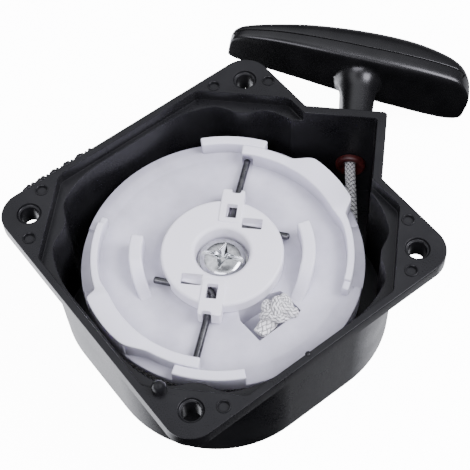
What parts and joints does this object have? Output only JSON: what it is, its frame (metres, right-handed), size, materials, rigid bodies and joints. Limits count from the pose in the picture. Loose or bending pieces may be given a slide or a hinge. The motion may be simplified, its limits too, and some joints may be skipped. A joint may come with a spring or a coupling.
{
  "type": "recoil starter",
  "caption": "Pull-cord starter for a small engine: open moulded housing with a square bolt flange, rope reel with a hub cap and wire springs, spiral return spring, rope and T-handle.",
  "frame": {"origin": "on the reel axis, in the plane of the closed outer face that the starter lies on", "axes": "+Z along the reel axis to the open engine side, +Y along the line of pull to the handle, +X from one flange hole to the opposite one"},
  "size_m": [0.1407, 0.1645, 0.0453],
  "materials": {
    "housing_plastic": "semi-gloss moulded",
    "guide_plastic": "satin",
    "spring_steel": "oiled blued strip",
    "zinc": "bright zinc plated",
    "reel_nylon": "natural nylon, satin",
    "cap_nylon": "white nylon, satin",
    "dark_wire": "dark drawn wire",
    "rope_braid": "braided polyester",
    "handle_plastic": "satin moulded"
  },
  "bodies": {
    "housing": {"housing": "housing_plastic", "rope_guide": "guide_plastic", "recoil_spring": "spring_steel", "centre_screw": "zinc", "centre_washer": "zinc"},
    "reel": {"reel": "reel_nylon", "hub_cap": "cap_nylon", "wire_spring_upper": "dark_wire", "wire_spring_lower": "dark_wire", "rope_wound": "rope_braid", "rope_reel_knot": "rope_braid"},
    "handle": {"handle_body": "handle_plastic", "handle_cover": "handle_plastic", "rope_run": "rope_braid", "rope_handle_knot": "rope_braid"}
  },
  "joints": [
    {"name": "reel_spin", "type": "hinge", "parent": "housing", "child": "reel", "pos_m": [0, 0, 0.02], "axis": [0, 0, 1], "range_deg": [0, 1080], "stiffness_Nm_per_rad": 0.02, "deforming": ["recoil_spring"]},
    {"name": "handle_pull", "type": "slide", "parent": "housing", "child": "handle", "axis": [0, 1, 0], "range_m": [0, 0.7315], "deforming": ["rope_run"]}
  ],
  "couplings": [
    {"joint": "handle_pull", "follows": "reel_spin", "m_per_rad": 0.0388}
  ]
}
